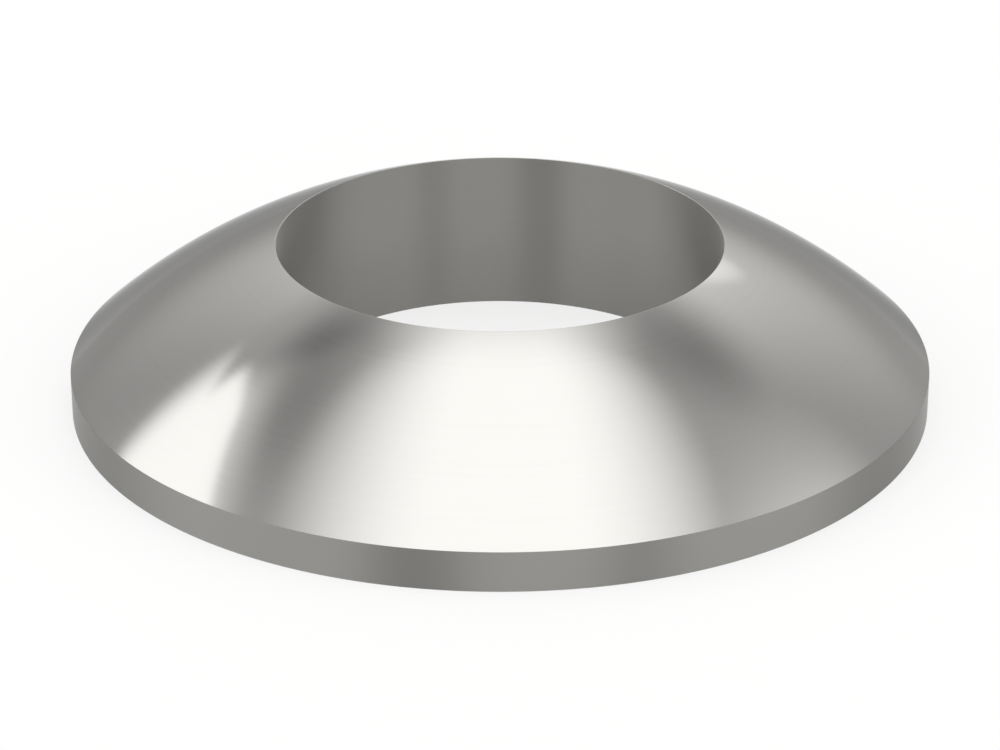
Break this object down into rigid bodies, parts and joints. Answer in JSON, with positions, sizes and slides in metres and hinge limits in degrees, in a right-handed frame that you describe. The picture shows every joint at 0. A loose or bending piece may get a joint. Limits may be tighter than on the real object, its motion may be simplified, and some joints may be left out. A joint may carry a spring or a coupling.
{
  "type": "spherical washer",
  "caption": "Turned steel ring with a flat base, a plain round bore and a domed top that seats in a conical washer, so that a bolt can sit at a slight angle.",
  "frame": {"origin": "on the bore's axis, in the plane of the flat base", "axes": "+Z along the bore's axis, from the flat base towards the domed seat; X and Y are free, as the ring is round"},
  "size_m": [0.012, 0.012, 0.0023],
  "materials": {
    "turned_steel": "plain steel, turned and then ground smooth on the domed seat, with a soft sheen and slightly warm grey colour"
  },
  "bodies": {
    "root": {"spherical_washer": "turned_steel"}
  },
  "joints": []
}
